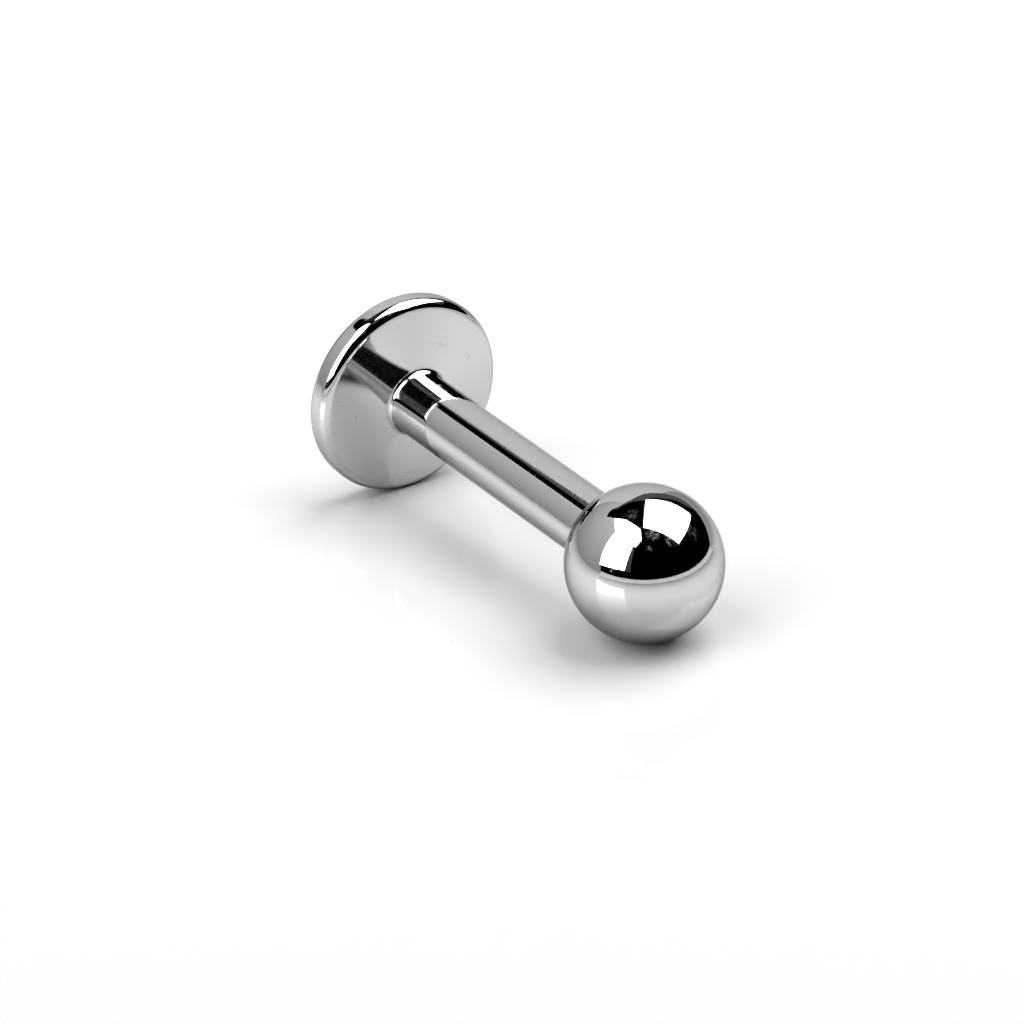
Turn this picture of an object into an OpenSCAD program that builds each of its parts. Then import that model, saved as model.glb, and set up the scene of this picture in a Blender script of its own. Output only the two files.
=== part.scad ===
// Labret stud: a flat disc on a straight post, with a ball that screws on.
// It lies on its side, resting on the ball and on the rim of the disc.
// Millimetres, +Z up. The ball points to +X and the post lies in the X-Z plane.

/* [Ball] */
// Diameter of the ball
ball_d = 3; // [2.8:0.1:6]
// Width of the flat seat that stands out past the post
seat_rim = 0.06; // [0.02:0.01:0.2]
// Gap between the ball's seat and the shoulder of the post
seat_gap = 0.02; // [0.01:0.01:0.1]

/* [Post] */
// Diameter of the post
post_d = 1.3; // [1:0.05:1.7]
// Length of the post from the face of the disc to its shoulder
post_len = 6.5; // [5:0.1:12]
// Radius of the fillet at the foot of the post
foot_fillet_r = 0.1; // [0.04:0.01:0.2]
// Width of the break on the edge of the shoulder
shoulder_break = 0.03; // [0.01:0.01:0.05]

/* [Disc] */
// Diameter of the disc
disc_d = 4.1; // [3.4:0.1:6]
// Thickness of the disc at its rim
disc_t = 0.62; // [0.5:0.02:1.2]
// Radius of the rounding along both edges of the rim
rim_r = 0.22; // [0.1:0.01:0.24]
// Rise of the conical face from the rim to the post
face_rise = 0.24; // [0.04:0.01:0.3]

/* [Thread] */
// Step in from the post to the crest of the thread
shoulder_w = 0.05; // [0.03:0.01:0.12]
// Length of the threaded end
thread_len = 1.6; // [1:0.1:1.8]
// Distance from one thread to the next
thread_pitch = 0.25; // [0.22:0.01:0.35]
// Depth of the thread
thread_depth = 0.11; // [0.05:0.01:0.12]
// Length of the plain relief between the shoulder and the first thread
relief_len = 0.15; // [0.1:0.05:0.3]
// Width of the chamfer at the tip
tip_chamfer = 0.08; // [0.02:0.01:0.15]

/* [Bore] */
// Gap between the crest of the thread and the wall of the bore
thread_clear = 0.02; // [0.01:0.01:0.06]
// Room left in front of the tip
bore_spare = 0.15; // [0.05:0.05:0.3]
// Width of the countersink at the mouth of the bore
mouth_chamfer = 0.04; // [0.01:0.01:0.05]

/* [Hidden] */

$fn = 120;
drill_half_angle = 59;
flank_half_angle = 30;
crest_share = 1 / 8;
steel = [0.80, 0.81, 0.82];
steel_ball = [0.86, 0.87, 0.88];

ball_r = ball_d / 2;
post_r = post_d / 2;
disc_r = disc_d / 2;

// The face of the disc is a shallow cone that meets the rounded rim at a tangent.
face_r = disc_r - rim_r;
face_w = face_r - post_r;
rim_drop = face_rise + rim_r;
face_slope = atan2(rim_drop, face_w) - asin(rim_r / norm([face_w, rim_drop]));
edge_r = face_r + rim_r * sin(face_slope);
edge_z = rim_r * (cos(face_slope) - 1);

// The fillet at the post's foot touches the post and the cone.
foot_r = post_r + foot_fillet_r;
foot_z = face_rise + foot_fillet_r * (1 / cos(face_slope) - tan(face_slope));
toe_r = foot_r - foot_fillet_r * sin(face_slope);
toe_z = foot_z - foot_fillet_r * cos(face_slope);

// The ball is cut flat where it meets the shoulder.
seat_r = post_r + seat_rim;
seat_offset = sqrt(ball_r * ball_r - seat_r * seat_r);
ball_z = post_len + seat_gap + seat_offset;

thread_r = post_r - shoulder_w;
root_r = thread_r - thread_depth;
flank_w = thread_depth * tan(flank_half_angle);
crest_w = thread_pitch * crest_share;
turns = floor((thread_len - relief_len) / thread_pitch);
tip_z = post_len + thread_len;
bore_r = thread_r + thread_clear;
bore_depth = thread_len + bore_spare - seat_gap;
drill_point = bore_r / tan(drill_half_angle);

// The stud leans until the ball and the rounded rim both touch the floor.
rim_z = rim_r + ball_z;
lean = atan2(face_r, rim_z) + asin((rim_r - ball_r) / sqrt(rim_z * rim_z + face_r * face_r));
back_x = (rim_r - disc_t) * cos(lean) - face_r * abs(sin(lean)) - rim_r;
front_x = ball_z * cos(lean) + ball_r;
rest_x = -(back_x + front_x) / 2;
rest_z = ball_r + ball_z * sin(lean);

// Lays a piece that is drawn along its own Z axis, from disc to ball, in its place.
module at_rest() {
    translate([rest_x, 0, rest_z]) rotate([0, 90 + lean, 0]) children();
}

// Half section of the disc, with a rounded rim and a flat back.
module disc_section() {
    translate([0, -disc_t]) square([face_r, disc_t]);
    translate([0, rim_r - disc_t]) square([disc_r, disc_t - 2 * rim_r]);
    translate([face_r, -rim_r]) circle(rim_r);
    translate([face_r, rim_r - disc_t]) circle(rim_r);
}

// Half section of the conical face on the post's side.
module face_section() {
    polygon([[0, edge_z], [edge_r, edge_z], [post_r, face_rise], [0, face_rise]]);
}

// Half section of the hollow fillet that joins the post to the face.
module foot_section() {
    difference() {
        polygon([[0, 0], [toe_r, toe_z], [foot_r, foot_z], [0, foot_z]]);
        translate([foot_r, foot_z]) circle(foot_fillet_r);
    }
}

// Half section of the post up to its shoulder.
module post_section() {
    polygon([
        [0, -rim_r],
        [post_r, -rim_r],
        [post_r, post_len - shoulder_break],
        [post_r - shoulder_break, post_len],
        [0, post_len]
    ]);
}

// Outline of one thread, as half section points that start at height z.
function thread_points(z) = [
    [root_r, z],
    [thread_r, z + flank_w],
    [thread_r, z + flank_w + crest_w],
    [root_r, z + 2 * flank_w + crest_w]
];

// Half section of the threaded end.
module thread_section() {
    first_z = post_len + relief_len;
    teeth = [for (i = [0 : turns - 1]) each thread_points(first_z + i * thread_pitch)];
    polygon(concat(
        [[0, post_len - shoulder_break], [root_r, post_len - shoulder_break]],
        teeth,
        [[root_r, tip_z - tip_chamfer], [root_r - tip_chamfer, tip_z], [0, tip_z]]
    ));
}

// Disc, foot, post and threaded end, one piece of steel.
module disc_post() {
    color(steel) at_rest() rotate_extrude() {
        disc_section();
        face_section();
        foot_section();
        post_section();
        thread_section();
    }
}

// Half section of what is cut from the ball: the flat of the seat and the drilled bore.
module bore_section() {
    polygon([
        [0, -2 * ball_r],
        [2 * ball_r, -2 * ball_r],
        [2 * ball_r, -seat_offset],
        [bore_r + mouth_chamfer, -seat_offset],
        [bore_r, mouth_chamfer - seat_offset],
        [bore_r, bore_depth - seat_offset],
        [0, bore_depth + drill_point - seat_offset]
    ]);
}

// Ball with its flat seat and the blind bore for the threaded end.
module ball() {
    color(steel_ball) at_rest() translate([0, 0, ball_z]) difference() {
        sphere(ball_r);
        rotate_extrude() bore_section();
    }
}

disc_post();
ball();
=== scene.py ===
"""Labret stud of mirror-polished surgical steel, lying on a glossy white table.

A turned bar carries a disc with a shallow conical face at one end and a fine screw thread at the
other, and a ball screws on over the thread. The stud lies on the ball and on the rim of the disc.
Sizes of the stud are in millimetres, those of the studio in metres, and every mesh is in metres.
"""

import logging
import math
from collections.abc import Callable, Mapping, Sequence
from dataclasses import dataclass, field
from enum import Enum
from functools import partial
from typing import Any

import bpy
import numpy as np
from mathutils import Matrix, Vector

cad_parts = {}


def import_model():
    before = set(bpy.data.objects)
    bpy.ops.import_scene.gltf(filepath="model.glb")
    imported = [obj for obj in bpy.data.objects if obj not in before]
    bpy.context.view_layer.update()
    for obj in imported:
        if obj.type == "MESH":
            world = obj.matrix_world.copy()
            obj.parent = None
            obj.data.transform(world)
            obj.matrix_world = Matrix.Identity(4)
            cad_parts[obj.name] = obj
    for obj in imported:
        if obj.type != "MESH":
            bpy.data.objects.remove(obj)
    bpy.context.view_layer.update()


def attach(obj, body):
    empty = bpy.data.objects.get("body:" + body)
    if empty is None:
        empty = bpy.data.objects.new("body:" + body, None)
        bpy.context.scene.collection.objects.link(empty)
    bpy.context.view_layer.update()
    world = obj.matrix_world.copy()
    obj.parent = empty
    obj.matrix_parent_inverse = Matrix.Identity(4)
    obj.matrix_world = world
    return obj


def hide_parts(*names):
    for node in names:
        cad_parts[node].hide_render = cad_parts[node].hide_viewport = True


MM = 0.001
MICRON = 0.000001
LOG = logging.getLogger("labret_stud")

# Blender numbers the colour sockets of a Mix node so.
MIX_FIRST = 6
MIX_SECOND = 7
MIX_RESULT = 2

# How often the ring noise changes from the middle of a piece to its side.
RING_WANDER = 3.0
# The two ways that hairlines run, as turns in radians.
HAIRLINE_TURNS = ((0.3, 0.5, 0.2), (-0.8, 1.2, 2.1))

# Watts that an area light takes for each square metre and unit of radiance.
WATTS_PER_RADIANCE = 4

Point = tuple[float, float]
Triple = tuple[float, float, float]
Reshape = Callable[[np.ndarray, np.ndarray, np.ndarray], np.ndarray]
Upright = Callable[[bpy.types.NodeTree], bpy.types.NodeSocket]


class Body(Enum):
    """The two bodies that the pieces ride on."""

    STUD = "stud"
    SCREW_BALL = "screw_ball"


class Slot(Enum):
    """The material slots of the record."""

    BAR = "polished_bar"
    BALL = "polished_ball"


class Finish(Enum):
    """The finishes of a turned piece, with their place in its list of materials."""

    POLISHED = 0
    AS_CUT = 1
    BUFFED_FACE = 2


def linear(hex_colour: str) -> tuple[float, float, float, float]:
    """Turns an sRGB hex colour to linear light, by the standard sRGB curve.

    Args:
        hex_colour: Six hex digits, such as "C8C8C8".

    Returns:
        Red, green, blue and an alpha of 1, as a shader takes them.
    """
    parts = [int(hex_colour[i : i + 2], 16) / 255 for i in (0, 2, 4)]
    light = [p / 12.92 if p <= 0.04045 else ((p + 0.055) / 1.055) ** 2.4 for p in parts]
    return light[0], light[1], light[2], 1.0


def add_node(
    tree: bpy.types.NodeTree,
    kind: str,
    inputs: Mapping[str | int, Any] | None = None,
    **settings: Any,
) -> bpy.types.Node:
    """Adds a node with its settings, and sets or links its inputs.

    Args:
        tree: The node tree that the node goes into.
        kind: Blender's name for the kind of node, without the ShaderNode in front.
        inputs: A value or another node's socket for each input, by name or by number.
        **settings: The node's own properties.

    Returns:
        The new node.
    """
    node = tree.nodes.new("ShaderNode" + kind)
    for name, value in settings.items():
        setattr(node, name, value)
    for name, value in (inputs or {}).items():
        if isinstance(value, bpy.types.NodeSocket):
            tree.links.new(value, node.inputs[name])
        else:
            node.inputs[name].default_value = value
    return node


def blank_material(name: str) -> tuple[bpy.types.Material, bpy.types.NodeTree]:
    """Makes a material with an empty node tree.

    Args:
        name: The material's name.

    Returns:
        The material and its node tree.
    """
    material = bpy.data.materials.new(name)
    material.use_nodes = True
    material.node_tree.nodes.clear()
    return material, material.node_tree


def towards(azimuth: float, elevation: float) -> Vector:
    """Gives the direction that lies at an azimuth and an elevation.

    Args:
        azimuth: Degrees round from -Y, with 90 towards +X.
        elevation: Degrees above the table.

    Returns:
        The direction, one unit long.
    """
    a = math.radians(azimuth)
    e = math.radians(elevation)
    return Vector((math.sin(a) * math.cos(e), -math.cos(a) * math.cos(e), math.sin(e)))


@dataclass
class HalfSection:
    """Half section of a turned piece, walked from the axis outwards and back to the axis.

    Each point is a radius and a height along the axis in mm. A corner stays crisp, and the
    surface runs smoothly through every other point.
    """

    points: list[Point] = field(default_factory=list)
    corners: set[int] = field(default_factory=set)
    finishes: list[Finish] = field(default_factory=list)
    finish: Finish = Finish.POLISHED

    def _walk_to(self, radius: float, height: float) -> None:
        """Adds a point, with the finish of the stretch that leads to it."""
        self.points.append((radius, height))
        self.finishes.append(self.finish)

    def line(self, radius: float, height: float, steps: int = 1) -> "HalfSection":
        """Walks straight on.

        Args:
            radius: Radius to walk to.
            height: Height to walk to.
            steps: How many rings the way gets.

        Returns:
            This half section.
        """
        if not self.points:
            self._walk_to(radius, height)
            return self
        r0, z0 = self.points[-1]
        for i in range(1, steps + 1):
            share = i / steps
            self._walk_to(r0 + (radius - r0) * share, z0 + (height - z0) * share)
        return self

    def arc(self, centre: Point, radius: float, start: float, end: float, steps: int) -> "HalfSection":
        """Walks round part of a circle.

        Args:
            centre: Radius and height of the circle's centre.
            radius: The circle's radius.
            start: Angle of the first point in degrees, from outwards towards up the axis.
            end: Angle of the last point in degrees.
            steps: How many rings the way gets.

        Returns:
            This half section.
        """
        for i in range(1, steps + 1):
            angle = math.radians(start + (end - start) * i / steps)
            r = max(centre[0] + radius * math.cos(angle), 0.0)
            self._walk_to(r, centre[1] + radius * math.sin(angle))
        return self

    def corner(self) -> "HalfSection":
        """Keeps the point that was walked to last as a crisp corner."""
        self.corners.add(len(self.points) - 1)
        return self

    def spin(self, name: str, segments: int, reshape: Reshape | None = None) -> bpy.types.Object:
        """Turns the half section round its axis into a closed mesh.

        Args:
            name: Name of the piece.
            segments: How many faces go round.
            reshape: Gives new radii from the radii, heights and angles of the rings.

        Returns:
            The piece, with its axis along its own Z.
        """
        rings = np.array(self.points[1:-1], float)
        turn = np.arange(segments) * 2 * math.pi / segments
        r = np.repeat(rings[:, :1], segments, axis=1)
        z = np.repeat(rings[:, 1:], segments, axis=1)
        angle = np.repeat(turn[None, :], len(rings), axis=0)
        if reshape is not None:
            r = reshape(r, z, angle)
        body = np.stack([r * np.cos(angle), r * np.sin(angle), z], axis=-1).reshape(-1, 3)
        ends = [[0.0, 0.0, self.points[0][1]], [0.0, 0.0, self.points[-1][1]]]
        vertices = np.concatenate([body, ends]) * MM
        first_end = len(body)
        last_ring = (len(rings) - 1) * segments
        faces: list[tuple[int, ...]] = []
        for j in range(segments):
            k = (j + 1) % segments
            faces.append((first_end, k, j))
            faces.append((first_end + 1, last_ring + j, last_ring + k))
        for i in range(len(rings) - 1):
            low = i * segments
            high = low + segments
            for j in range(segments):
                k = (j + 1) % segments
                faces.append((low + j, low + k, high + k, high + j))
        mesh = bpy.data.meshes.new(name)
        mesh.from_pydata(vertices.tolist(), [], faces)
        mesh.polygons.foreach_set("use_smooth", [True] * len(mesh.polygons))
        places = [finish.value for finish in self.finishes[1:]]
        caps = [places[0], places[-1]] * segments
        bands = np.repeat(places[1:-1], segments).tolist()
        mesh.polygons.foreach_set("material_index", caps + bands)
        self._crease(mesh, segments)
        mesh.update()
        piece = bpy.data.objects.new(name, mesh)
        bpy.context.scene.collection.objects.link(piece)
        return piece

    def _crease(self, mesh: bpy.types.Mesh, segments: int) -> None:
        """Marks the rings of edges that stay crisp.

        Args:
            mesh: The turned mesh.
            segments: How many faces go round.
        """
        ends = np.zeros(len(mesh.edges) * 2, int)
        mesh.edges.foreach_get("vertices", ends)
        ring = ends.reshape(-1, 2) // segments
        wanted = np.array([c - 1 for c in sorted(self.corners)], int)
        sharp = (ring[:, 0] == ring[:, 1]) & np.isin(ring[:, 0], wanted)
        mesh.attributes.new("sharp_edge", "BOOLEAN", "EDGE").data.foreach_set("value", sharp)


@dataclass(frozen=True)
class ScrewThread:
    """A fine 60 degree thread that runs round a turned piece as one true helix.

    The crest and the flank are shares of the pitch, and rounding is how far the straight flank
    is worn towards a smooth wave. The other sizes are in mm.
    """

    pitch: float = 0.25
    depth: float = 0.11
    crest_share: float = 0.125
    flank_share: float = 0.254
    first: float = 6.65
    last: float = 8.1
    run_out: float = 0.12
    rounding: float = 0.3

    def wave(self, height: np.ndarray, angle: np.ndarray) -> np.ndarray:
        """Gives how far up the flank each point lies, from 0 in the root to 1 on the crest.

        Args:
            height: Heights along the axis in mm.
            angle: Angles round the axis in radians.

        Returns:
            The share of the thread's depth, which fades out at both ends of the thread.
        """
        phase = (height - self.first) / self.pitch - angle / (2 * math.pi)
        from_crest = np.abs(phase - np.round(phase))
        flat = self.crest_share / 2
        share = 1 - np.clip((from_crest - flat) / self.flank_share, 0, 1)
        smooth = share * share * (3 - 2 * share)
        share = smooth * self.rounding + share * (1 - self.rounding)
        start = np.clip((height - self.first) / self.run_out, 0, 1)
        end = np.clip((self.last - height) / self.run_out, 0, 1)
        return share * start * end


class SurfaceMarks(Enum):
    """Which way the last fine marks run on a polished piece."""

    TURNED = "rings round the axis"
    TUMBLED = "short hairlines every way"


def ring_noise(
    tree: bpy.types.NodeTree,
    place: bpy.types.NodeSocket,
    spacing: float,
    detail: float = 1.0,
) -> bpy.types.NodeSocket:
    """Makes noise that changes quickly across turned rings and slowly along them.

    Args:
        tree: The material's node tree.
        place: Coordinates on the upright piece, in metres.
        spacing: Distance between the rings in mm.
        detail: How many finer layers the noise gets.

    Returns:
        The noise, from 0 to 1.
    """
    parts = add_node(tree, "SeparateXYZ", {0: place})
    flat = add_node(tree, "CombineXYZ", {0: parts.outputs[0], 1: parts.outputs[1]})
    radius = add_node(tree, "VectorMath", {0: flat.outputs[0]}, operation="LENGTH").outputs["Value"]
    around = add_node(tree, "VectorMath", {0: flat.outputs[0]}, operation="NORMALIZE")
    turned = add_node(tree, "SeparateXYZ", {0: around.outputs[0]})
    per_metre = 1 / (spacing * MM)
    across = add_node(tree, "Math", {0: radius, 1: per_metre}, operation="MULTIPLY")
    along = add_node(tree, "Math", {0: parts.outputs[2], 1: per_metre}, operation="MULTIPLY")
    round_it = add_node(tree, "Math", {0: turned.outputs[0], 1: RING_WANDER}, operation="MULTIPLY")
    vector = add_node(
        tree,
        "CombineXYZ",
        {0: across.outputs[0], 1: along.outputs[0], 2: round_it.outputs[0]},
    )
    noise = {"Vector": vector.outputs[0], "Scale": 1.0, "Detail": detail}
    return add_node(tree, "TexNoise", noise).outputs[0]


def scratch_noise(
    tree: bpy.types.NodeTree,
    place: bpy.types.NodeSocket,
    spacing: float,
    length: float,
    detail: float = 1.0,
) -> bpy.types.NodeSocket:
    """Makes short hairlines that run two ways at once.

    Args:
        tree: The material's node tree.
        place: Coordinates on the upright piece, in metres.
        spacing: Distance between the hairlines in mm.
        length: Length of a hairline, as a multiple of the spacing.
        detail: How many finer layers the noise gets.

    Returns:
        The noise, from 0 to about 1.
    """
    per_metre = 1 / (spacing * MM)
    layers: list[bpy.types.NodeSocket] = []
    for turn in HAIRLINE_TURNS:
        scale = (per_metre, per_metre / length, per_metre / 2)
        turned = add_node(tree, "Mapping", {"Vector": place, "Rotation": turn, "Scale": scale})
        noise = {"Vector": turned.outputs[0], "Scale": 1.0, "Detail": detail}
        layers.append(add_node(tree, "TexNoise", noise).outputs[0])
    return add_node(tree, "Math", {0: layers[0], 1: layers[1]}, operation="MAXIMUM").outputs[0]


@dataclass(frozen=True)
class PolishedSteel:
    """Surgical steel 316L, turned and then buffed to a mirror.

    The eye gets a neutral, slightly dark mirror with crisp edges in its reflections. Close up
    the buffing marks form hazy patches of hair-fine lines, grey against black reflections, and
    there are a few dull pits. The real marks are about 0.005 mm apart, and are drawn about ten
    times as coarse to show. Spacings and sizes are in mm, depths in thousandths of a mm.
    """

    name: str
    marks: SurfaceMarks
    colour: str = "D2D2D2"
    grazing_tint: str = "BFBFBF"
    roughness: float = 0.03
    haze: float = 0.14
    haze_spacing: float = 0.8
    haze_detail: float = 3.0
    haze_range: Point = (0.48, 0.7)
    crest_range: Point = (0.5, 0.8)
    hairline_length: float = 12.0
    mark_spacing: float = 0.055
    mark_depth: float = 0.03
    patch_depth: float = 0.25
    ripple_spacing: float = 0.9
    ripple_depth: float = 0.25
    pit_colour: str = "A8A6A4"
    pit_spacing: float = 0.33
    pit_size: float = 0.015
    pit_fade: float = 2.0
    pit_depth: float = 0.5
    pit_share: float = 0.14

    def _pit_mask(
        self, tree: bpy.types.NodeTree, place: bpy.types.NodeSocket
    ) -> bpy.types.NodeSocket:
        """Makes a mask that is 1 in a few scattered pits and 0 elsewhere.

        Args:
            tree: The material's node tree.
            place: Coordinates on the upright piece.

        Returns:
            The mask.
        """
        cells = add_node(tree, "TexVoronoi", {"Vector": place, "Scale": 1 / (self.pit_spacing * MM)})
        edge = self.pit_size / self.pit_spacing
        inside = add_node(
            tree,
            "MapRange",
            {
                "Value": cells.outputs["Distance"],
                "From Min": edge,
                "From Max": edge * self.pit_fade,
                "To Min": 1.0,
                "To Max": 0.0,
            },
        )
        cell = add_node(tree, "SeparateColor", {0: cells.outputs["Color"]})
        chosen = add_node(tree, "Math", {0: cell.outputs[0], 1: self.pit_share}, operation="LESS_THAN")
        mask = {0: inside.outputs[0], 1: chosen.outputs[0]}
        return add_node(tree, "Math", mask, operation="MULTIPLY").outputs[0]

    def _relief(
        self,
        tree: bpy.types.NodeTree,
        place: bpy.types.NodeSocket,
        patches: bpy.types.NodeSocket,
        fine: bpy.types.NodeSocket,
        pits: bpy.types.NodeSocket,
    ) -> bpy.types.NodeSocket:
        """Adds up the soft ripple, the fine marks and the pits.

        Args:
            tree: The material's node tree.
            place: Coordinates on the upright piece.
            patches: How hazy the surface is, from 0 to 1.
            fine: The pattern of the fine marks.
            pits: The mask of the pits.

        Returns:
            The height in thousandths of a mm.
        """
        wide = {"Vector": place, "Scale": 1 / (self.ripple_spacing * MM), "Detail": 0.0}
        ripple = add_node(tree, "TexNoise", wide).outputs[0]
        deep = {0: patches, 1: self.patch_depth, 2: self.mark_depth}
        depth = add_node(tree, "Math", deep, operation="MULTIPLY_ADD").outputs[0]
        marks = add_node(tree, "Math", {0: fine, 1: depth}, operation="MULTIPLY").outputs[0]
        waves = {0: ripple, 1: self.ripple_depth, 2: marks}
        raised = add_node(tree, "Math", waves, operation="MULTIPLY_ADD").outputs[0]
        pitted = {0: pits, 1: -self.pit_depth, 2: raised}
        return add_node(tree, "Math", pitted, operation="MULTIPLY_ADD").outputs[0]

    def build(self, upright: Upright) -> bpy.types.Material:
        """Makes the material.

        Args:
            upright: Adds nodes that give the place on the upright piece.

        Returns:
            The material.
        """
        material, tree = blank_material(self.name)
        place = upright(tree)
        scale = 1 / (self.haze_spacing * MM)
        cloudy = {"Vector": place, "Scale": scale, "Detail": self.haze_detail}
        cloud = add_node(tree, "TexNoise", cloudy).outputs[0]
        low, high = self.haze_range
        cloudy_part = {"Value": cloud, "From Min": low, "From Max": high}
        patches = add_node(tree, "MapRange", cloudy_part).outputs[0]
        if self.marks is SurfaceMarks.TURNED:
            fine = ring_noise(tree, place, self.mark_spacing)
        else:
            fine = scratch_noise(tree, place, self.mark_spacing, self.hairline_length)
        low, high = self.crest_range
        crests = {"Value": fine, "From Min": low, "From Max": high, "To Max": self.haze}
        lines = add_node(tree, "MapRange", crests).outputs[0]
        hazy = {0: patches, 1: lines, 2: self.roughness}
        rough = add_node(tree, "Math", hazy, operation="MULTIPLY_ADD").outputs[0]
        pits = self._pit_mask(tree, place)
        height = self._relief(tree, place, patches, fine, pits)
        shades = {0: pits, MIX_FIRST: linear(self.colour), MIX_SECOND: linear(self.pit_colour)}
        shade = add_node(tree, "Mix", shades, data_type="RGBA").outputs[MIX_RESULT]
        bump = add_node(tree, "Bump", {"Height": height, "Distance": MICRON, "Strength": 1.0})
        shader = add_node(
            tree,
            "BsdfPrincipled",
            {
                "Base Color": shade,
                "Metallic": 1.0,
                "Specular Tint": linear(self.grazing_tint),
                "Roughness": rough,
                "Normal": bump.outputs[0],
            },
        )
        add_node(tree, "OutputMaterial", {"Surface": shader.outputs[0]})
        return material


@dataclass(frozen=True)
class TurnedSteel:
    """Surgical steel 316L, as the lathe tool leaves it, where no buffing wheel reaches.

    The eye gets a satin grey with fine rings round the axis and broad soft highlights. The
    rings are drawn 0.03 mm apart, about twice as coarse as the tool's feed. Their depth is in
    thousandths of a mm.
    """

    name: str
    colour: str = "A9A9A8"
    roughness: float = 0.22
    ring_spacing: float = 0.03
    ring_depth: float = 0.9

    def build(self, upright: Upright) -> bpy.types.Material:
        """Makes the material.

        Args:
            upright: Adds nodes that give the place on the upright piece.

        Returns:
            The material.
        """
        material, tree = blank_material(self.name)
        rings = ring_noise(tree, upright(tree), self.ring_spacing)
        depth = self.ring_depth * MICRON
        bump = add_node(tree, "Bump", {"Height": rings, "Distance": depth, "Strength": 1.0})
        shader = add_node(
            tree,
            "BsdfPrincipled",
            {
                "Base Color": linear(self.colour),
                "Metallic": 1.0,
                "Roughness": self.roughness,
                "Normal": bump.outputs[0],
            },
        )
        add_node(tree, "OutputMaterial", {"Surface": shader.outputs[0]})
        return material


@dataclass(frozen=True)
class RestingPlace:
    """Where the stud lies: its axis leans down from the disc to the ball.

    The lean is in degrees, and x and z are the place of the face's rim plane in mm.
    """

    lean: float
    x: float
    z: float

    @property
    def turn(self) -> float:
        """Angle about Y in radians that lays the upright axis down to where it rests."""
        return math.radians(90 + self.lean)

    def origin(self, along: float = 0.0) -> Vector:
        """Gives a point on the stud's axis in metres.

        Args:
            along: How far up the axis from the rim of the disc's face, in mm.

        Returns:
            The point in the row frame.
        """
        axis = Vector((math.sin(self.turn), 0.0, math.cos(self.turn)))
        return (Vector((self.x, 0.0, self.z)) + axis * along) * MM

    def lay(self, piece: bpy.types.Object, along: float = 0.0) -> None:
        """Moves the mesh of an upright piece to where it rests.

        Args:
            piece: A piece that is drawn along Z.
            along: How far up the stud's axis the piece's own origin lies, in mm.
        """
        turn = Matrix.Rotation(self.turn, 4, "Y")
        piece.data.transform(Matrix.Translation(self.origin(along)) @ turn)
        piece.data.update()

    def upright(self, tree: bpy.types.NodeTree, along: float = 0.0) -> bpy.types.NodeSocket:
        """Adds nodes that give the place on the upright piece, as it was turned.

        Args:
            tree: The material's node tree.
            along: How far up the stud's axis the piece's own origin lies, in mm.

        Returns:
            The coordinates in metres, with the axis along Z.
        """
        place = add_node(tree, "TexCoord").outputs["Object"]
        return add_node(
            tree,
            "Mapping",
            {"Vector": place, "Location": self.origin(along), "Rotation": (0.0, self.turn, 0.0)},
            vector_type="TEXTURE",
        ).outputs[0]


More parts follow.
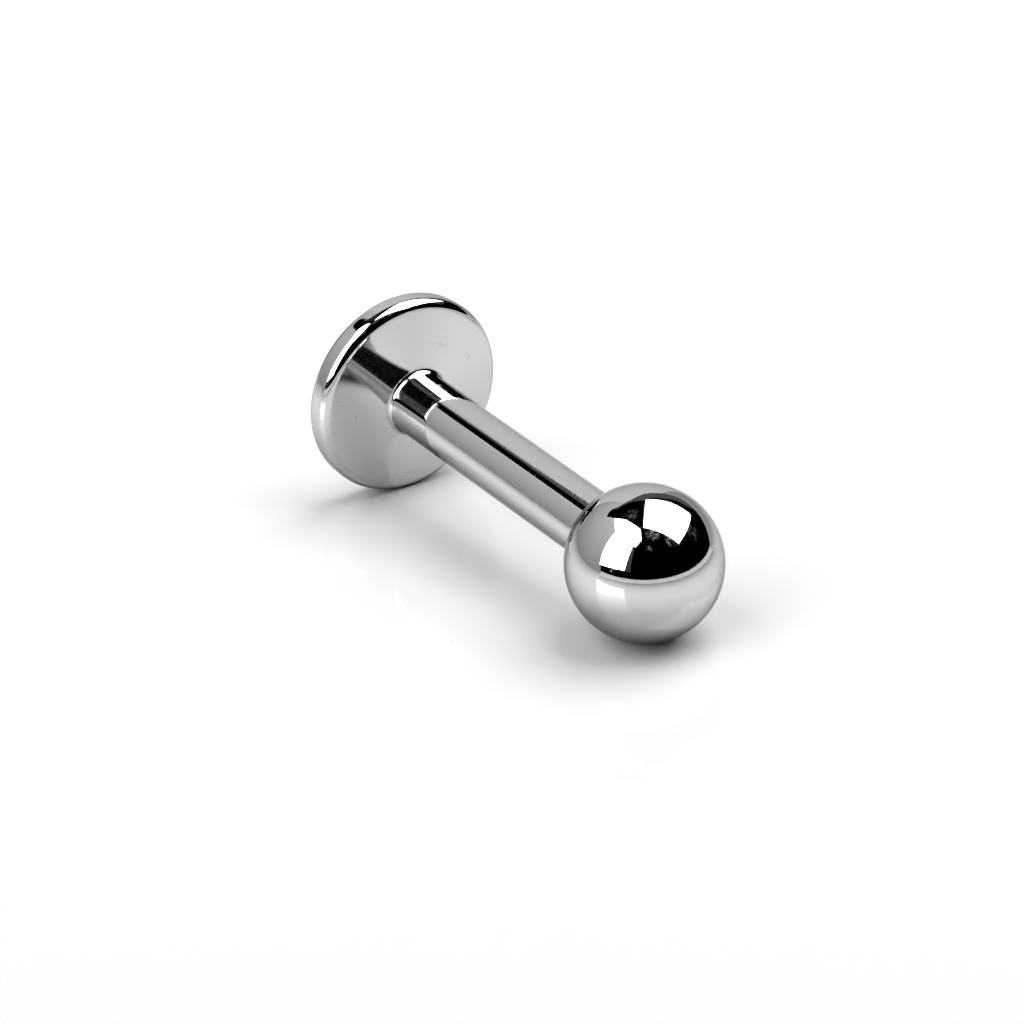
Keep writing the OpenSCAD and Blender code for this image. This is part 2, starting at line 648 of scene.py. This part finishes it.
@dataclass
class ThreadedBar:
    """Disc with a conical face, plain post and threaded end, turned from one rod."""

    post_d: float = 1.3
    post_len: float = 6.5
    fillet: float = 0.1
    shoulder_break: float = 0.03
    disc_d: float = 4.1
    disc_t: float = 0.62
    rim_r: float = 0.22
    face_rise: float = 0.24
    thread_r: float = 0.6
    thread_len: float = 1.6
    tip_chamfer: float = 0.08
    segments: int = 240
    thread: ScrewThread = field(default_factory=ScrewThread)

    def section(self) -> HalfSection:
        """Walks the half section from the middle of the flat back to the tip.

        The face is a shallow cone. It meets the rounding of the rim and the fillet at the
        post's foot at a tangent, so no line shows between them.

        Returns:
            The half section.
        """
        post_r = self.post_d / 2
        edge_r = self.disc_d / 2 - self.rim_r
        across = edge_r - post_r
        down = self.face_rise + self.rim_r
        slope = math.atan2(down, across) - math.asin(self.rim_r / math.hypot(across, down))
        foot = post_r + self.fillet
        foot_z = self.face_rise - self.fillet * math.tan(slope) + self.fillet / math.cos(slope)
        cone_end = (foot - self.fillet * math.sin(slope), foot_z - self.fillet * math.cos(slope))
        steep = math.degrees(slope)
        root_r = self.thread_r - self.thread.depth
        tip = self.post_len + self.thread_len
        section = HalfSection(finish=Finish.BUFFED_FACE)
        section.line(0, -self.disc_t)
        section.line(edge_r, -self.disc_t, steps=10)
        section.finish = Finish.POLISHED
        section.arc((edge_r, self.rim_r - self.disc_t), self.rim_r, start=-90, end=0, steps=20)
        section.line(self.disc_d / 2, -self.rim_r, steps=4)
        section.arc((edge_r, -self.rim_r), self.rim_r, start=0, end=90 - steep, steps=24)
        section.finish = Finish.BUFFED_FACE
        section.line(*cone_end, steps=24)
        section.arc((foot, foot_z), self.fillet, start=-90 - steep, end=-180, steps=12)
        section.finish = Finish.POLISHED
        section.line(post_r, self.post_len - self.shoulder_break, steps=40).corner()
        section.line(post_r - self.shoulder_break, self.post_len).corner()
        section.finish = Finish.AS_CUT
        section.line(root_r, self.post_len, steps=2).corner()
        section.line(root_r, tip - self.tip_chamfer, steps=120).corner()
        section.line(root_r - self.tip_chamfer, tip, steps=2).corner()
        section.line(0, tip, steps=3)
        return section

    def cut_thread(self, radius: np.ndarray, height: np.ndarray, angle: np.ndarray) -> np.ndarray:
        """Raises the thread's crests out of the root cylinder.

        Args:
            radius: Radii of the rings in mm.
            height: Heights of the rings in mm.
            angle: Angles round the axis in radians.

        Returns:
            The new radii.
        """
        return radius + self.thread.depth * self.thread.wave(height, angle)

    def build(self, place: RestingPlace) -> bpy.types.Object:
        """Makes the bar, dresses it and puts it in its place.

        Args:
            place: Where the stud lies.

        Returns:
            The bar.
        """
        piece = self.section().spin("disc_and_post", self.segments, self.cut_thread)
        place.lay(piece)
        mirror = PolishedSteel("steel_316L_turned_and_mirror_buffed", SurfaceMarks.TURNED)
        thread = TurnedSteel("steel_316L_die_cut_thread")
        face = PolishedSteel(
            "steel_316L_faced_and_hand_buffed",
            SurfaceMarks.TURNED,
            roughness=0.06,
            haze=0.4,
            haze_spacing=1.1,
            mark_depth=0.15,
            patch_depth=0.35,
            pit_spacing=0.2,
            pit_share=0.12,
        )
        for finish in (mirror, thread, face):
            piece.data.materials.append(finish.build(place.upright))
        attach(piece, Body.STUD.value)
        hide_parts("disc_post")
        return piece


@dataclass
class ScrewBall:
    """Ball with a flat seat and a blind threaded bore, which screws on over the thread.

    A point counts as lying on the bore's wall within wall_tolerance of it. Sizes are in mm.
    """

    ball_d: float = 3.0
    seat_r: float = 0.71
    seat_z: float = 6.52
    bore_r: float = 0.62
    bore_depth: float = 1.73
    mouth_chamfer: float = 0.04
    drill_half_angle: float = 59.0
    wall_tolerance: float = 0.001
    segments: int = 240
    thread: ScrewThread = field(
        default_factory=lambda: ScrewThread(depth=0.05, first=6.58, last=8.1, run_out=0.08)
    )

    @property
    def seat_offset(self) -> float:
        """Distance from the ball's centre to its flat seat in mm."""
        return math.sqrt((self.ball_d / 2) ** 2 - self.seat_r**2)

    @property
    def centre_z(self) -> float:
        """Height of the ball's centre along the stud's axis in mm."""
        return self.seat_z + self.seat_offset

    def section(self) -> HalfSection:
        """Walks the half section from the bottom of the bore out over the seat to the pole.

        Returns:
            The half section, with its origin at the ball's centre.
        """
        ball_r = self.ball_d / 2
        seat = -self.seat_offset
        end = seat + self.bore_depth
        point = self.bore_r / math.tan(math.radians(self.drill_half_angle))
        start = math.degrees(math.asin(seat / ball_r))
        section = HalfSection(finish=Finish.AS_CUT)
        section.line(0, end + point)
        section.line(self.bore_r, end, steps=4).corner()
        section.line(self.bore_r, seat + self.mouth_chamfer, steps=120).corner()
        section.line(self.bore_r + self.mouth_chamfer, seat, steps=2).corner()
        section.line(self.seat_r, seat).corner()
        section.finish = Finish.POLISHED
        section.arc((0, 0), ball_r, start=start, end=90, steps=140)
        return section

    def cut_thread(self, radius: np.ndarray, height: np.ndarray, angle: np.ndarray) -> np.ndarray:
        """Sinks the thread into the wall of the bore, clear of the bar's own thread.

        Args:
            radius: Radii of the rings in mm.
            height: Heights of the rings in mm, from the ball's centre.
            angle: Angles round the axis in radians.

        Returns:
            The new radii.
        """
        on_wall = np.abs(radius - self.bore_r) < self.wall_tolerance
        wave = self.thread.wave(height + self.centre_z, angle)
        return radius + np.where(on_wall, self.thread.depth * wave, 0.0)

    def build(self, place: RestingPlace) -> bpy.types.Object:
        """Makes the ball, dresses it and puts it in its place.

        Args:
            place: Where the stud lies.

        Returns:
            The ball.
        """
        piece = self.section().spin("threaded_ball", self.segments, self.cut_thread)
        place.lay(piece, self.centre_z)
        upright = partial(place.upright, along=self.centre_z)
        tumbled = PolishedSteel("steel_316L_tumbled_ball", SurfaceMarks.TUMBLED, ripple_depth=0.08)
        piece.data.materials.append(tumbled.build(upright))
        piece.data.materials.append(TurnedSteel("steel_316L_tapped_bore").build(upright))
        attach(piece, Body.SCREW_BALL.value)
        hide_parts("ball")
        return piece


@dataclass(frozen=True)
class WhiteAcrylic:
    """Opal acrylic sheet, cast with a glossy skin, with a painted sheen and painted shade in its
    colour.

    The eye gets an even white with a faint soft mirror image of what stands on it. A painted sheen
    whitens the sheet at a low angle. Straight down, where the steel mirrors it, it is painted greyer:
    painted shade that stands in for deeper shadow on the table round where the stud touches it.
    """

    # The painted shade colour shows straight down, the painted sheen colour at a low angle.
    painted_shade_colour: str = "8E8E8E"
    painted_sheen_colour: str = "BCBCBC"
    painted_sheen_blend: float = 0.5
    painted_sheen_range: Point = (0.2, 0.8)
    roughness: float = 0.5
    ior: float = 1.2
    gloss: float = 1.0
    gloss_roughness: float = 0.06
    gloss_ior: float = 1.24

    def build(self) -> bpy.types.Material:
        """Makes the material.

        Returns:
            The material.
        """
        material, tree = blank_material("acrylic_sheet_opal_white")
        # Painted light: the colour goes from a painted grey of shade seen straight down to a painted
        # white sheen seen at a low angle.
        facing = add_node(tree, "LayerWeight", {"Blend": self.painted_sheen_blend}).outputs["Facing"]
        start, full = self.painted_sheen_range
        slant = {"Value": facing, "From Min": start, "From Max": full}
        share = add_node(tree, "MapRange", slant).outputs[0]
        layers: list[bpy.types.NodeSocket] = []
        # One layer carries the painted shade, the other the painted sheen; they differ only in colour.
        for colour in (self.painted_shade_colour, self.painted_sheen_colour):
            skin = {
                "Base Color": linear(colour),
                "Roughness": self.roughness,
                "IOR": self.ior,
                "Coat Weight": self.gloss,
                "Coat Roughness": self.gloss_roughness,
                "Coat IOR": self.gloss_ior,
            }
            layers.append(add_node(tree, "BsdfPrincipled", skin).outputs[0])
        sheet = add_node(tree, "MixShader", {0: share, 1: layers[0], 2: layers[1]})
        add_node(tree, "OutputMaterial", {"Surface": sheet.outputs[0]})
        return material


@dataclass(frozen=True)
class GlowingFabric:
    """Plain fabric or paper of a screen, lit from behind.

    It glows with one shade at the table's level and goes evenly to another one at its top, which
    is a height in metres. Only a lamp's front is counted among the lights.
    """

    name: str
    low: float
    high: float
    top: float = 1.0
    is_lamp: bool = False

    def build(self) -> bpy.types.Material:
        """Makes the material, which goes from the low to the high shade up to the top.

        Returns:
            The material.
        """
        material, tree = blank_material(self.name)
        material.cycles.emission_sampling = "FRONT_BACK" if self.is_lamp else "NONE"
        place = add_node(tree, "TexCoord").outputs["Object"]
        height = add_node(tree, "SeparateXYZ", {0: place}).outputs[2]
        shade = add_node(
            tree,
            "MapRange",
            {"Value": height, "From Max": self.top, "To Min": self.low, "To Max": self.high},
        )
        glow = add_node(tree, "Emission", {"Color": linear("FFFFFF"), "Strength": shade.outputs[0]})
        add_node(tree, "OutputMaterial", {"Surface": glow.outputs[0]})
        return material


@dataclass(frozen=True)
class BlackCloth:
    """Black velvet, hung in loose folds round the table and over it.

    The steel mirrors it as a deep black. Near the lamps the folds catch a little light, which
    shows in the ball as dim grey wisps. The distance and the wisps' spacing are in metres.
    """

    distance: float
    wisp_radiance: float = 1.1
    wisp_spacing: float = 0.16
    wisp_detail: float = 6.0
    wisp_roughness: float = 0.75
    wisp_range: Point = (0.5, 0.66)
    lit_folds: tuple[tuple[float, float, float, float], ...] = (
        (84, 66, 0.42, 1.0),
        (113, 48, 0.36, 1.0),
        (160, 30, 0.42, 0.45),
        (-75, 72, 0.4, 0.45),
        (64, 46, 0.2, 0.6),
    )

    def build(self) -> bpy.types.Material:
        """Makes the material, whose folds are lit round a few directions.

        Each entry of lit_folds is an azimuth and elevation in degrees, a reach in metres and a
        share of the brightness.

        Returns:
            The material.
        """
        material, tree = blank_material("velvet_black_in_loose_folds")
        material.cycles.emission_sampling = "NONE"
        place = add_node(tree, "TexCoord").outputs["Object"]
        lit: bpy.types.NodeSocket | float = 0.0
        for azimuth, elevation, reach, share in self.lit_folds:
            middle = towards(azimuth, elevation) * self.distance
            away = add_node(tree, "VectorMath", {0: place, 1: middle}, operation="DISTANCE")
            near = add_node(
                tree,
                "MapRange",
                {"Value": away.outputs["Value"], "From Max": reach, "To Min": share, "To Max": 0.0},
            )
            lit = add_node(tree, "Math", {0: near.outputs[0], 1: lit}, operation="MAXIMUM").outputs[0]
        folds = {
            "Vector": place,
            "Scale": 1 / self.wisp_spacing,
            "Detail": self.wisp_detail,
            "Roughness": self.wisp_roughness,
        }
        noise = add_node(tree, "TexNoise", folds).outputs[0]
        low, high = self.wisp_range
        catching = {"Value": noise, "From Min": low, "From Max": high, "To Max": self.wisp_radiance}
        caught = add_node(tree, "MapRange", catching).outputs[0]
        glow = add_node(tree, "Math", {0: caught, 1: lit}, operation="MULTIPLY").outputs[0]
        shader = add_node(tree, "Emission", {"Color": linear("FFFFFF"), "Strength": glow})
        add_node(tree, "OutputMaterial", {"Surface": shader.outputs[0]})
        return material


@dataclass(frozen=True)
class Softbox:
    """A rectangular studio light with an even white front.

    Its centre, width and height are in metres. It looks the way that faces gives, and its width
    runs the way that side gives.
    """

    name: str
    centre: Triple
    faces: Triple
    side: Triple
    width: float
    height: float
    radiance: float

    def build(self) -> bpy.types.Object:
        """Makes the light and turns it the way it faces.

        Returns:
            The light.
        """
        light = bpy.data.lights.new(self.name, "AREA")
        light.shape = "RECTANGLE"
        light.size = self.width
        light.size_y = self.height
        light.energy = self.radiance * WATTS_PER_RADIANCE * self.width * self.height
        lamp = bpy.data.objects.new(self.name, light)
        back = -Vector(self.faces).normalized()
        across = Vector(self.side)
        across = (across - across.dot(back) * back).normalized()
        up = back.cross(across)
        turn = Matrix((across, up, back)).transposed().to_4x4()
        lamp.matrix_world = Matrix.Translation(self.centre) @ turn
        lamp.visible_camera = False
        bpy.context.scene.collection.objects.link(lamp)
        return lamp


@dataclass(frozen=True)
class Screen:
    """An upright screen that curves round the table at one distance from the stud, in metres.

    Each entry of edge is an azimuth, and the elevations of the bottom and the top there, all in
    degrees.
    """

    name: str
    edge: Sequence[Triple]
    distance: float
    cover: bpy.types.Material
    rows: int = 12

    def build(self) -> bpy.types.Object:
        """Makes the screen, which only the steel and the table see.

        Returns:
            The screen.
        """
        vertices: list[Vector] = []
        for azimuth, bottom, top in self.edge:
            for i in range(self.rows + 1):
                elevation = bottom + (top - bottom) * i / self.rows
                vertices.append(towards(azimuth, elevation) * self.distance)
        faces: list[tuple[int, ...]] = []
        for i in range(len(self.edge) - 1):
            for j in range(self.rows):
                a = i * (self.rows + 1) + j
                b = a + self.rows + 1
                faces.append((a, b, b + 1, a + 1))
        mesh = bpy.data.meshes.new(self.name)
        mesh.from_pydata([tuple(v) for v in vertices], [], faces)
        mesh.update()
        screen = bpy.data.objects.new(self.name, mesh)
        bpy.context.scene.collection.objects.link(screen)
        mesh.materials.append(self.cover)
        screen.visible_camera = False
        return screen


@dataclass
class Studio:
    """The white table, the lights, the screens and the dark room round them.

    Distances are in metres, and the feet of the cloth and the screens are elevations in degrees.
    A dark hem hangs just behind the screens, and a thin glowing line, a painted highlight of the
    screen's frame, stands just in front of them.
    """

    table_r: float = 2.2
    table_sides: int = 96
    room_r: float = 2.1
    cloth_foot: float = 2.5
    cloth_step: int = 10
    screen_r: float = 1.9
    screen_foot: float = -1.0
    screen_top: float = 1.52
    hem_r: float = 1.95
    # Distance of the thin glowing line that is a painted highlight of the screen's frame.
    edge_highlight_r: float = 1.85
    light_distance: float = 3.0
    octabox_distance: float = 1.5
    radiance: float = 5.3
    back_share: float = 1.1
    front_share: float = 0.88
    air_colour: str = "F0F0F0"

    def table(self) -> bpy.types.Object:
        """Makes the round table top.

        Returns:
            The table.
        """
        rim = [2 * math.pi * i / self.table_sides for i in range(self.table_sides)]
        mesh = bpy.data.meshes.new("table_top")
        mesh.from_pydata(
            [(self.table_r * math.cos(a), self.table_r * math.sin(a), 0.0) for a in rim],
            [],
            [tuple(range(self.table_sides))],
        )
        mesh.materials.append(WhiteAcrylic().build())
        table = bpy.data.objects.new("table_top", mesh)
        bpy.context.scene.collection.objects.link(table)
        return table

    def dark_room(self) -> bpy.types.Object:
        """Makes the black cloth round the table, with a low gap over the table's edge.

        Returns:
            The black cloth.
        """
        full_turn = 360
        zenith = 90.0
        azimuths = range(0, full_turn + 1, self.cloth_step)
        edge = [(azimuth, self.cloth_foot, zenith) for azimuth in azimuths]
        return Screen("black_cloth", edge, self.room_r, BlackCloth(self.room_r).build()).build()

    def softboxes(self) -> list[bpy.types.Object]:
        """Makes the two rectangular lights.

        Returns:
            The lights.
        """
        k = self.light_distance
        back = Softbox(
            "softbox_back",
            centre=(0.0085 * k, 0.1958 * k, 0.345 * k),
            faces=(-0.2916, -0.4344, -0.8522),
            side=(-0.7779, 0.6262, -0.053),
            width=0.44 * k,
            height=0.376 * k,
            radiance=self.radiance * self.back_share,
        )
        front = Softbox(
            "softbox_front",
            centre=(0.0411 * k, -0.3256 * k, 0.2346 * k),
            faces=(0.2245, 0.9081, -0.3534),
            side=(0.9712, -0.1788, 0.1575),
            width=0.294 * k,
            height=0.325 * k,
            radiance=self.radiance * self.front_share,
        )
        return [back.build(), front.build()]

    def octabox(self) -> bpy.types.Object:
        """Makes the eight-sided light over the front softbox, of which six corners show.

        Each corner is an azimuth and an elevation in degrees.

        Returns:
            The light's glowing front.
        """
        corners = ((-60.6, 52.6), (-49.5, 67.6), (36.1, 74.5), (47, 58.5), (36, 47.5), (-27, 53.0))
        mesh = bpy.data.meshes.new("octabox")
        points = [tuple(towards(a, e) * self.octabox_distance) for a, e in corners]
        mesh.from_pydata(points, [], [tuple(range(len(points)))])
        front = GlowingFabric("octabox_front", self.radiance, self.radiance, is_lamp=True)
        mesh.materials.append(front.build())
        box = bpy.data.objects.new("octabox", mesh)
        bpy.context.scene.collection.objects.link(box)
        box.visible_camera = False
        return box

    def standing(self, name: str, tops: Sequence[Point], cover: GlowingFabric) -> Screen:
        """Plans a screen that stands round the table.

        Args:
            name: Name of the screen.
            tops: Azimuth and elevation of each point of its top edge, in degrees.
            cover: What it is covered with.

        Returns:
            The screen.
        """
        edge = [(azimuth, self.screen_foot, top) for azimuth, top in tops]
        return Screen(name, edge, self.screen_r, cover.build())

    def backdrop(self) -> list[Screen]:
        """Plans the pale backdrop, its dimmer end and the dark hem that hangs over both.

        Returns:
            The screens.
        """
        paper = self.standing(
            "backdrop",
            [(221, 28), (226, 32), (234, 37), (240, 41.5), (250, 47), (262, 48)],
            GlowingFabric("backdrop_paper", low=0.9, high=0.78, top=self.screen_top),
        )
        dim_end = self.standing(
            "backdrop_end",
            [(171, 3), (183, 8), (196, 12), (204, 15), (212, 19), (221, 28)],
            GlowingFabric("backdrop_end_paper", low=0.45, high=0.45),
        )
        hem_edge = [
            (200, 13, 23),
            (208, 16, 30),
            (213, 19, 38),
            (221, 26, 43),
            (226, 31, 47),
            (235, 37, 53),
            (240, 41, 53),
            (250, 46.5, 52),
            (262, 47.5, 51),
            (270, 46.5, 50),
            (276.5, 43.5, 49),
        ]
        hem_cloth = GlowingFabric("backdrop_hem_cloth", low=0.11, high=0.11)
        hem = Screen("backdrop_hem", hem_edge, self.hem_r, hem_cloth.build())
        return [paper, dim_end, hem]

    def side_screen(self) -> list[Screen]:
        """Plans the grey screen beside the backdrop and the painted highlight that glows along its
        edge.

        Returns:
            The screens.
        """
        tops = [
            (262, 48),
            (268, 48),
            (273, 46),
            (278, 42),
            (284, 41),
            (292, 42),
            (295, 48),
            (300, 52.5),
            (316, 54),
            (332, 54),
            (342, 30),
            (347, 10.6),
            (350.6, 1),
        ]
        paper = GlowingFabric("side_screen_paper", low=0.35, high=0.7, top=self.screen_top)
        # A thin line that glows brighter than the screen along its edge: a painted highlight of the
        # screen's frame.
        edge_highlight = Screen(
            "screen_edge",
            [(293.3, 41, 42.2), (296, 46, 48), (298, 49, 51)],
            self.edge_highlight_r,
            GlowingFabric("screen_edge_painted_highlight", low=1.2, high=1.2).build(),
        )
        return [self.standing("side_screen", tops, paper), edge_highlight]

    def small_edges(self) -> list[Screen]:
        """Plans the bright line beyond the table, the side of a lamp and its foot.

        Returns:
            The screens.
        """
        line_top = 2.6
        wall = self.standing(
            "table_edge",
            [(azimuth, line_top) for azimuth in range(-9, 175, 4)],
            GlowingFabric("wall_beyond_table", low=0.8, high=0.8),
        )
        lamp_side = Screen(
            "lamp_side",
            [(27.5, 12, 49), (34, 12.5, 48)],
            self.screen_r,
            GlowingFabric("lamp_side_cloth", low=0.03, high=0.11, top=self.screen_top).build(),
        )
        lamp_foot = Screen(
            "lamp_foot",
            [(5.2, 6.3, 9.4), (6.4, 6.3, 9.4)],
            self.screen_r,
            GlowingFabric("lamp_foot_paint", low=0.9, high=0.9).build(),
        )
        return [wall, lamp_side, lamp_foot]

    def screens(self) -> list[bpy.types.Object]:
        """Makes every screen, all of which only the steel and the table see.

        Returns:
            The screens.
        """
        plans = self.backdrop() + self.side_screen() + self.small_edges()
        return [plan.build() for plan in plans]

    def pale_air(self) -> None:
        """Gives the scene its pale background, which shows beyond the table."""
        world = bpy.data.worlds.new("pale_background")
        bpy.context.scene.world = world
        world.use_nodes = True
        tree = world.node_tree
        tree.nodes.clear()
        light = add_node(tree, "Background", {"Color": linear(self.air_colour), "Strength": 1.0})
        add_node(tree, "OutputWorld", {"Surface": light.outputs[0]})

    def build(self) -> None:
        """Makes the whole studio."""
        self.table()
        self.dark_room()
        self.screens()
        self.softboxes()
        self.octabox()
        self.pale_air()
        LOG.info("studio: table, black cloth, screens, two softboxes, octabox")


@dataclass(frozen=True)
class TableCamera:
    """A long lens that looks down on the stud from beside the ball.

    Angles are in degrees, the lens, the sensor and the distance in mm, and the picture's width
    and the ball's place in pixels. The camera sees from nearest to furthest, in metres.
    """

    azimuth: float = 56.07
    elevation: float = 25.63
    roll: float = -1.1
    lens: float = 163.7
    sensor: float = 36.0
    picture: int = 1024
    distance: float = 86.1
    ball_at: Point = (644.5, 563.3)
    nearest: float = 0.001
    furthest: float = 10.0

    def build(self, ball: Vector) -> bpy.types.Object:
        """Makes the camera, so that the ball's centre falls on its place in the picture.

        Args:
            ball: The ball's centre in metres.

        Returns:
            The camera.
        """
        forward = -towards(self.azimuth, self.elevation)
        level = towards(self.azimuth + 90, 0)
        above = level.cross(forward)
        roll = math.radians(self.roll)
        right = math.cos(roll) * level + math.sin(roll) * above
        up = right.cross(forward)
        focal = self.lens / self.sensor * self.picture
        middle = self.picture / 2
        x = (self.ball_at[0] - middle) / focal
        y = (self.ball_at[1] - middle) / focal
        ray = (forward + right * x - up * y).normalized()
        data = bpy.data.cameras.new("table_camera")
        data.lens = self.lens
        data.sensor_width = self.sensor
        data.clip_start = self.nearest
        data.clip_end = self.furthest
        camera = bpy.data.objects.new("table_camera", data)
        turn = Matrix((right, up, -forward)).transposed().to_4x4()
        camera.matrix_world = Matrix.Translation(ball - ray * self.distance * MM) @ turn
        bpy.context.scene.collection.objects.link(camera)
        bpy.context.scene.camera = camera
        return camera


def rested(bar: ThreadedBar, ball: ScrewBall) -> RestingPlace:
    """Works out how the stud lies, with the ball and the disc's rim both on the table.

    Args:
        bar: The bar with its disc.
        ball: The ball.

    Returns:
        The resting place, with the stud's box centred on the row frame.
    """
    ball_r = ball.ball_d / 2
    edge_r = bar.disc_d / 2 - bar.rim_r
    rim_z = bar.rim_r + ball.centre_z
    reach = math.hypot(rim_z, edge_r)
    lean = math.atan2(edge_r, rim_z) + math.asin((bar.rim_r - ball_r) / reach)
    back_x = (bar.rim_r - bar.disc_t) * math.cos(lean) - edge_r * math.sin(lean) - bar.rim_r
    front_x = ball.centre_z * math.cos(lean) + ball_r
    return RestingPlace(
        math.degrees(lean), -(back_x + front_x) / 2, ball_r + ball.centre_z * math.sin(lean)
    )


def main() -> None:
    """Builds the stud, the studio and the camera, and reports each piece."""
    logging.basicConfig(level=logging.INFO, format="%(name)s: %(message)s")
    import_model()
    bpy.context.scene.view_settings.view_transform = "Standard"
    bar = ThreadedBar()
    ball = ScrewBall()
    place = rested(bar, ball)
    LOG.info("resting place: lean %.4f degrees, x %.4f mm, z %.4f mm", place.lean, place.x, place.z)
    TableCamera().build(place.origin(ball.centre_z))
    for maker in (bar, ball):
        piece = maker.build(place)
        LOG.info("%s: %d faces", piece.name, len(piece.data.polygons))
    Studio().build()


if __name__ == "__main__":
    main()
